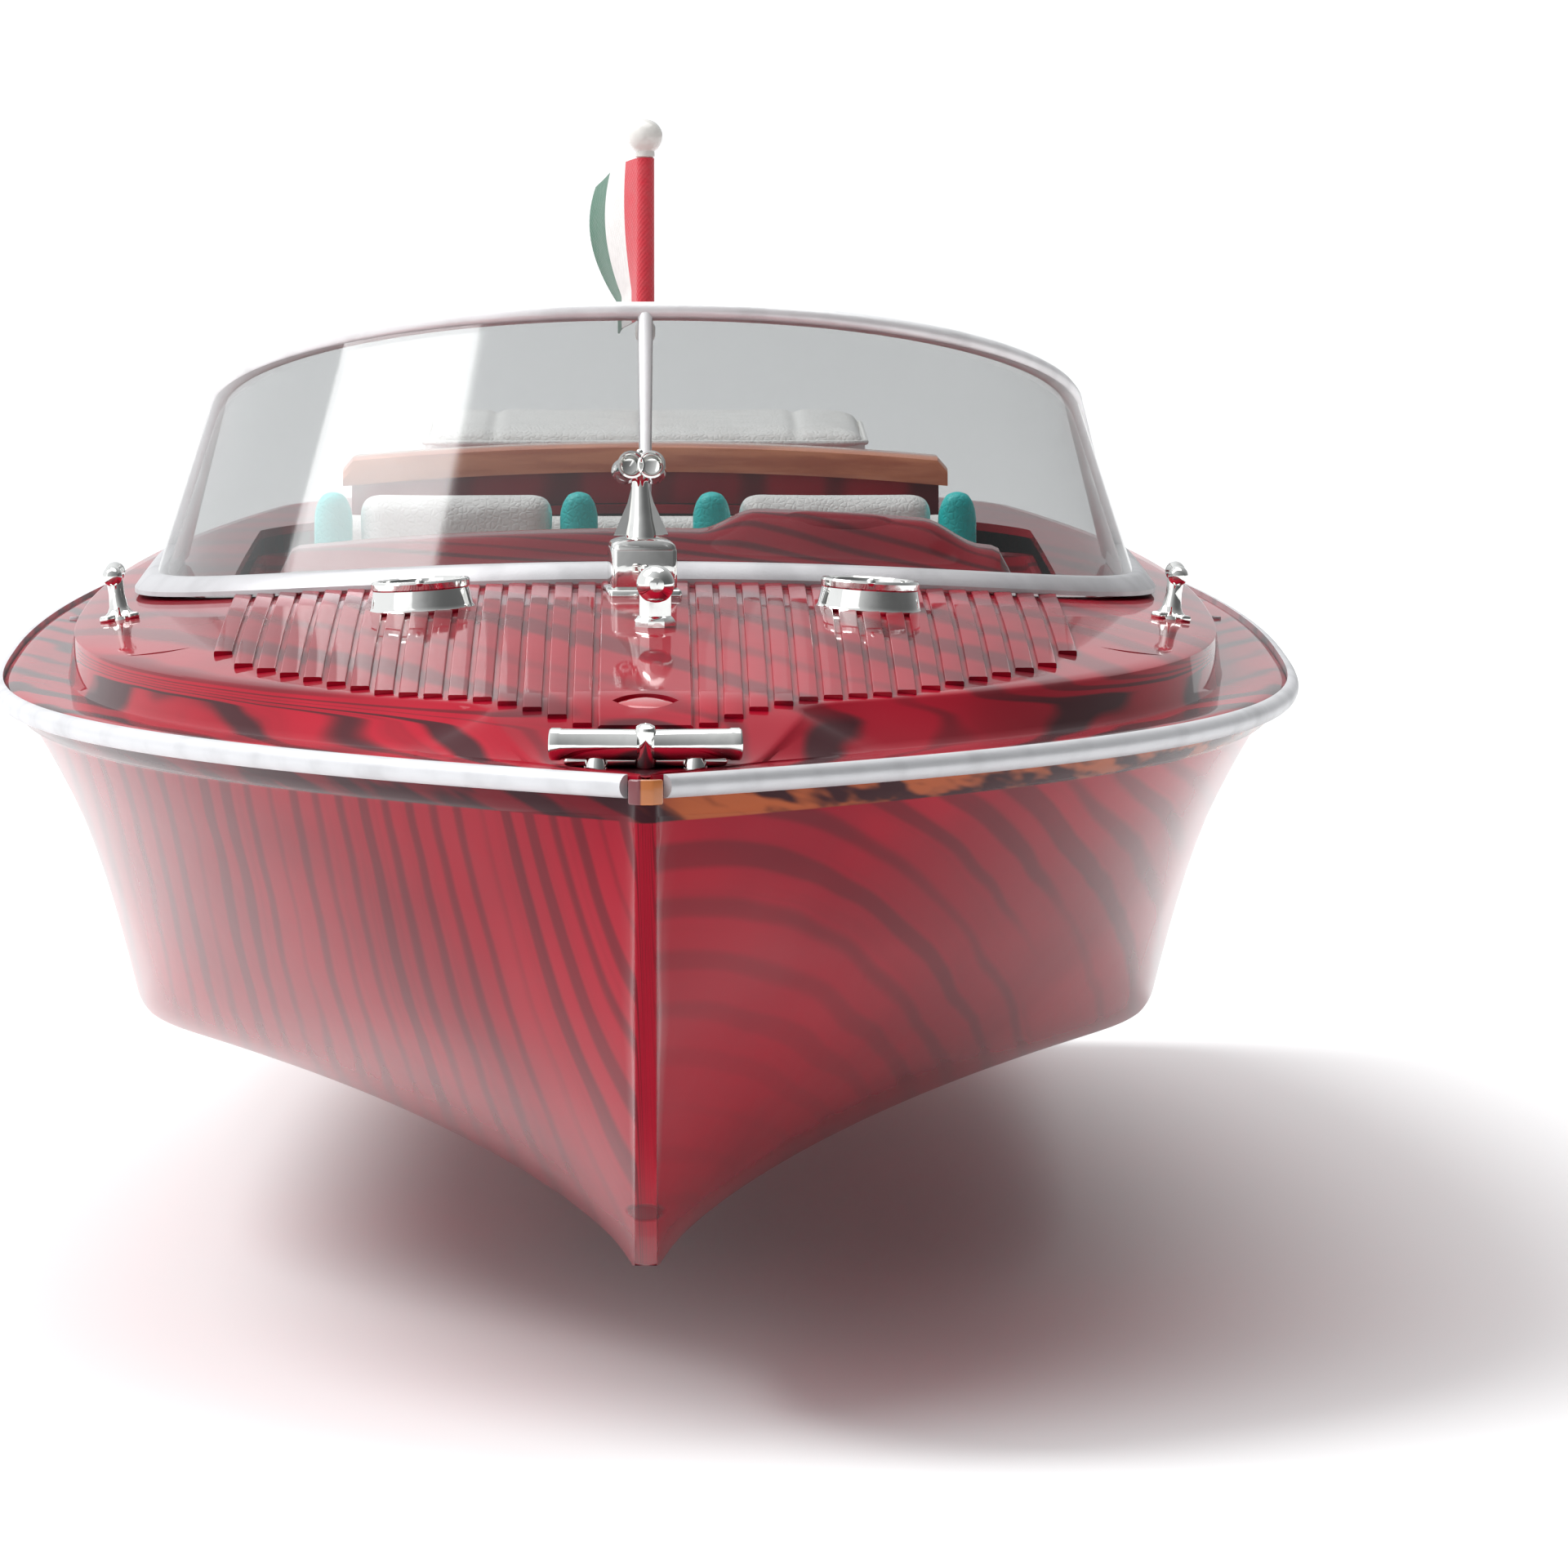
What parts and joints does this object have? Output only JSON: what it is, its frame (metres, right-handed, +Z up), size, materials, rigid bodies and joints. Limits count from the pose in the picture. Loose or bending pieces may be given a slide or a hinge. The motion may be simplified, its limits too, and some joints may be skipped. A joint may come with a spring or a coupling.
{
  "type": "radio-controlled motor runabout",
  "caption": "Classic hard-chine runabout hull with ribbed foredeck, wrap-around windscreen, open cockpit, aft hatch, screws and rudder, for radio control.",
  "frame": {"origin": "centre of the whole boat's plan, level with the rudder's lower edge", "axes": "-Y towards the bow, +X to port, +Z up; the boat is symmetric about X = 0 but for its helm, fittings and switch"},
  "size_m": [0.1324, 0.4476, 0.1113],
  "materials": {
    "hull_wood": "clear lacquer over printed mahogany",
    "trim_wood": "varnished",
    "silver": "satin silver paint",
    "chrome": "polished plating",
    "clear": "clear moulding",
    "dark_red": "gloss",
    "white_vinyl": "soft vinyl",
    "teal_vinyl": "soft vinyl",
    "cloth": "woven flag cloth",
    "white_plastic": "gloss",
    "black_plastic": "matt",
    "brass": "bright",
    "steel": "ground",
    "blue_sleeve": "shrink sleeve",
    "board_green": "circuit board",
    "rubber": "matt"
  },
  "bodies": {
    "hull": {"hull_shell": "hull_wood", "deck_shell": "hull_wood", "rub_rail_port": "silver", "rub_rail_starboard": "silver", "stem_cap": "trim_wood", "windscreen_glass": "clear", "windscreen_top_rail": "silver", "windscreen_base_band": "silver", "cockpit_tub": "dark_red", "dashboard": "dark_red", "gauge_bezels": "chrome", "front_seat_port": "white_vinyl", "front_seat_starboard": "white_vinyl", "seat_bolsters": "teal_vinyl", "rear_bench": "white_vinyl", "cockpit_trim": "trim_wood", "bow_chock": "chrome", "bow_bollard": "chrome", "signal_horn": "chrome", "foredeck_vent_port": "chrome", "foredeck_vent_starboard": "chrome", "side_cleat_port": "chrome", "side_cleat_starboard": "chrome", "staff_socket": "chrome", "flagstaff": "white_plastic", "flag": "cloth", "hinge_leaf": "chrome", "hinge_pin": "steel", "motor_mount": "black_plastic", "motor_can_port": "steel", "motor_can_starboard": "steel", "stern_tube_port": "brass", "stern_tube_starboard": "brass", "shaft_strut_port": "steel", "shaft_strut_starboard": "steel", "rudder_tube": "brass", "servo_body": "blue_sleeve", "battery_tray": "black_plastic", "battery_pack": "blue_sleeve", "battery_strap": "black_plastic", "receiver": "board_green", "switch_body": "black_plastic", "wiring": "rubber", "deck_screws": "steel"},
    "hatch": {"hatch_cover": "hull_wood", "sunpad": "white_vinyl"},
    "latch": {"hatch_latch": "chrome"},
    "port_drive": {"propeller_shaft_port": "steel", "shaft_coupling_port": "black_plastic", "propeller_port": "brass"},
    "starboard_drive": {"propeller_shaft_starboard": "steel", "shaft_coupling_starboard": "black_plastic", "propeller_starboard": "brass"},
    "rudder": {"rudder": "brass", "tiller": "white_plastic"},
    "servo_arm": {"servo_horn": "white_plastic"},
    "pushrod": {"pushrod": "steel"},
    "helm": {"steering_wheel": "white_plastic"},
    "power_switch": {"switch_slider": "rubber"}
  },
  "joints": [
    {"name": "hatch_hinge", "type": "hinge", "parent": "hull", "child": "hatch", "pos_m": [0, 0.11318, 0.0725], "axis": [1, 0, 0], "range_deg": [0, 70]},
    {"name": "latch_turn", "type": "hinge", "parent": "hull", "child": "latch", "pos_m": [0, 0.18518, 0.0708], "axis": [0, 0, 1], "range_deg": [0, 180]},
    {"name": "port_propeller_spin", "type": "hinge", "parent": "hull", "child": "port_drive", "pos_m": [0.02, 0.16818, 0.0078], "axis": [0, -0.9694, 0.2453], "continuous": true},
    {"name": "starboard_propeller_spin", "type": "hinge", "parent": "hull", "child": "starboard_drive", "pos_m": [-0.02, 0.16818, 0.0078], "axis": [0, -0.9694, 0.2453], "continuous": true},
    {"name": "rudder_turn", "type": "hinge", "parent": "hull", "child": "rudder", "pos_m": [0, 0.19118, 0.0118], "axis": [0, 0, 1], "range_deg": [-35, 35]},
    {"name": "servo_turn", "type": "hinge", "parent": "hull", "child": "servo_arm", "pos_m": [0, 0.14818, 0.0428], "axis": [0, 0, 1], "range_deg": [-35, 35]},
    {"name": "pushrod_pivot", "type": "hinge", "parent": "servo_arm", "child": "pushrod", "pos_m": [0.009, 0.14818, 0.0428], "axis": [0, 0, 1], "range_deg": [-35, 35]},
    {"name": "helm_turn", "type": "hinge", "parent": "hull", "child": "helm", "pos_m": [0.02, -0.02582, 0.0683], "axis": [0, 0.9397, 0.342], "range_deg": [-150, 150]},
    {"name": "power_switch_slide", "type": "slide", "parent": "hull", "child": "power_switch", "axis": [1, 0, 0], "range_m": [0, 0.0034]}
  ],
  "couplings": [
    {"joint": "servo_turn", "follows": "rudder_turn", "ratio": 1},
    {"joint": "pushrod_pivot", "follows": "rudder_turn", "ratio": -1}
  ]
}
